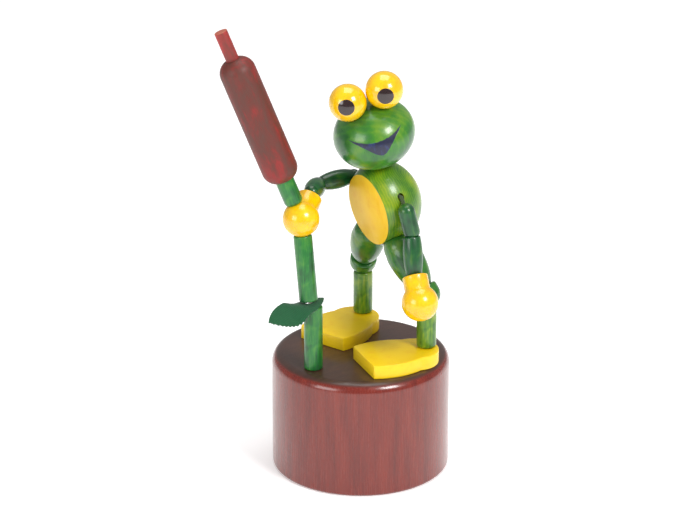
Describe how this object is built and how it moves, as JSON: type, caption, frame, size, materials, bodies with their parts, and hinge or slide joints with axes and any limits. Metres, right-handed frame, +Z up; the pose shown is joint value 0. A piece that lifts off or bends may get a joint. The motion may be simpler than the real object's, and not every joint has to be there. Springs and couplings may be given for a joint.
{
  "type": "push puppet",
  "caption": "Wooden press-button push puppet: a strung-bead frog with a bulrush standing on a hollow turned drum, which gives at its joints when the disc underneath is pressed.",
  "frame": {"origin": "centre of the drum's underside, on the surface it stands on", "axes": "+Z up; the frog faces -Y; its left side is +X"},
  "size_m": [0.0608, 0.0732, 0.1521],
  "materials": {
    "red_brown_stain": "mahogany red-brown stained and varnished wood, satin gloss",
    "bare_birch": "bare turned birch",
    "spring_wire": "drawn spring wire",
    "white_cord": "white elastic cord",
    "yellow_gloss": "opaque yellow gloss lacquer on wood",
    "light_green_stain": "lime-green translucent stain with grain, satin varnish",
    "mid_green_stain": "green translucent stain with grain, gloss varnish",
    "dark_green_stain": "dark green translucent stain, gloss varnish",
    "green_felt": "dark green ribbed felt",
    "rush_brown": "matt brown-red stain",
    "rush_red": "red stain with a bare cut end"
  },
  "bodies": {
    "base": {"base_drum": "red_brown_stain", "press_spring": "spring_wire", "left_foot": "yellow_gloss", "right_foot": "yellow_gloss", "lower_stem": "dark_green_stain", "leaf": "green_felt", "left_leg_cord": "white_cord", "right_leg_cord": "white_cord", "stem_cord": "white_cord"},
    "button": {"press_disc": "bare_birch", "cord_knots": "white_cord"},
    "left_shin": {"left_shin": "light_green_stain"},
    "right_shin": {"right_shin": "light_green_stain"},
    "left_thigh": {"left_knee": "mid_green_stain", "left_thigh": "mid_green_stain"},
    "right_thigh": {"right_knee": "mid_green_stain", "right_thigh": "mid_green_stain"},
    "torso": {"torso": "light_green_stain", "arm_cord": "white_cord"},
    "neck": {"neck_knot": "white_cord"},
    "head": {"head": "mid_green_stain", "left_eye": "yellow_gloss", "right_eye": "yellow_gloss"},
    "left_upper_arm": {"left_upper_arm": "dark_green_stain"},
    "left_forearm": {"left_forearm": "dark_green_stain"},
    "left_hand": {"left_hand": "yellow_gloss"},
    "right_upper_arm": {"right_upper_arm": "dark_green_stain"},
    "right_forearm": {"right_forearm": "dark_green_stain"},
    "right_hand": {"right_hand": "yellow_gloss"},
    "mid_stem": {"mid_stem": "dark_green_stain"},
    "bulrush": {"upper_stem": "dark_green_stain", "rush_head": "rush_brown", "rush_tip": "rush_red"}
  },
  "joints": [
    {"name": "button_press", "type": "slide", "parent": "base", "child": "button", "axis": [0, 0, 1], "range_m": [0, 0.007], "stiffness_N_per_m": 250, "springref_m": -0.002, "deforming": ["press_spring", "left_leg_cord", "right_leg_cord", "stem_cord", "arm_cord"]},
    {"name": "left_ankle", "type": "hinge", "parent": "base", "child": "left_shin", "pos_m": [0.01863, 0.0151, 0.0449], "axis": [1, 0, 0], "range_deg": [-10.05, 0]},
    {"name": "right_ankle", "type": "hinge", "parent": "base", "child": "right_shin", "pos_m": [-0.01677, 0.0151, 0.0449], "axis": [1, 0, 0], "range_deg": [-10.05, 0]},
    {"name": "left_knee_bend", "type": "hinge", "parent": "left_shin", "child": "left_thigh", "pos_m": [0.01863, 0.0128, 0.06222], "axis": [1, 0, 0], "range_deg": [0, 24.05]},
    {"name": "right_knee_bend", "type": "hinge", "parent": "right_shin", "child": "right_thigh", "pos_m": [-0.01677, 0.0128, 0.06222], "axis": [1, 0, 0], "range_deg": [0, 24.05]},
    {"name": "left_hip", "type": "hinge", "parent": "left_thigh", "child": "torso", "pos_m": [0.00943, 0.0087, 0.076], "axis": [1, 0, 0], "range_deg": [-4.05, 0]},
    {"name": "neck_nod", "type": "hinge", "parent": "torso", "child": "neck", "pos_m": [0.00093, 0.00759, 0.09293], "axis": [1, 0, 0], "range_deg": [0, 13.05]},
    {"name": "head_turn", "type": "hinge", "parent": "neck", "child": "head", "pos_m": [0.00093, 0.00759, 0.09293], "axis": [0, -0.1564, 0.9877], "range_deg": [-115, 35]},
    {"name": "left_shoulder_swing", "type": "hinge", "parent": "torso", "child": "left_upper_arm", "pos_m": [0.01613, 0.0062, 0.0912], "axis": [1, 0, 0], "range_deg": [-14.05, 0]},
    {"name": "left_elbow_swing", "type": "hinge", "parent": "left_upper_arm", "child": "left_forearm", "pos_m": [0.01733, 0.0074, 0.08461], "axis": [1, 0, 0], "range_deg": [-2.05, 0]},
    {"name": "left_wrist_swing", "type": "hinge", "parent": "left_forearm", "child": "left_hand", "pos_m": [0.02032, 0.0062, 0.07233], "axis": [1, 0, 0], "range_deg": [-1.05, 0]},
    {"name": "mid_stem_tilt", "type": "hinge", "parent": "base", "child": "mid_stem", "pos_m": [0.00037, -0.02379, 0.06284], "axis": [0.8168, -0.5769, 0], "range_deg": [0, 10.05]},
    {"name": "right_hand_tilt", "type": "hinge", "parent": "mid_stem", "child": "right_hand", "pos_m": [-0.00178, -0.02209, 0.08944], "axis": [0.8168, -0.5769, 0], "range_deg": [0, 3.05]},
    {"name": "bulrush_tilt", "type": "hinge", "parent": "right_hand", "child": "bulrush", "pos_m": [-0.00178, -0.02209, 0.08944], "axis": [0.8168, -0.5769, 0], "range_deg": [0, 12.05]},
    {"name": "right_shoulder_swing", "type": "hinge", "parent": "torso", "child": "right_upper_arm", "pos_m": [-0.01217, 0.0057, 0.0951], "axis": [-0.9498, 0.0333, -0.3111], "range_deg": [0, 15.51]},
    {"name": "right_elbow_swing", "type": "hinge", "parent": "right_upper_arm", "child": "right_forearm", "pos_m": [-0.01359, -0.00686, 0.09447], "axis": [-0.1377, -0.1871, -0.9726], "range_deg": [0, 11.64]}
  ],
  "couplings": [
    {"joint": "left_ankle", "follows": "button_press", "rad_per_m": -24.933},
    {"joint": "right_ankle", "follows": "button_press", "rad_per_m": -24.933},
    {"joint": "left_knee_bend", "follows": "button_press", "rad_per_m": 59.84},
    {"joint": "right_knee_bend", "follows": "button_press", "rad_per_m": 59.84},
    {"joint": "left_hip", "follows": "button_press", "rad_per_m": -9.9733},
    {"joint": "neck_nod", "follows": "button_press", "rad_per_m": 32.413},
    {"joint": "left_shoulder_swing", "follows": "button_press", "rad_per_m": -34.907},
    {"joint": "left_elbow_swing", "follows": "button_press", "rad_per_m": -4.9867},
    {"joint": "left_wrist_swing", "follows": "button_press", "rad_per_m": -2.4933},
    {"joint": "mid_stem_tilt", "follows": "button_press", "rad_per_m": 24.933},
    {"joint": "right_hand_tilt", "follows": "button_press", "rad_per_m": 7.48},
    {"joint": "bulrush_tilt", "follows": "button_press", "rad_per_m": 29.92},
    {"joint": "right_shoulder_swing", "follows": "button_press", "rad_per_m": 38.544},
    {"joint": "right_elbow_swing", "follows": "button_press", "rad_per_m": 28.896}
  ]
}
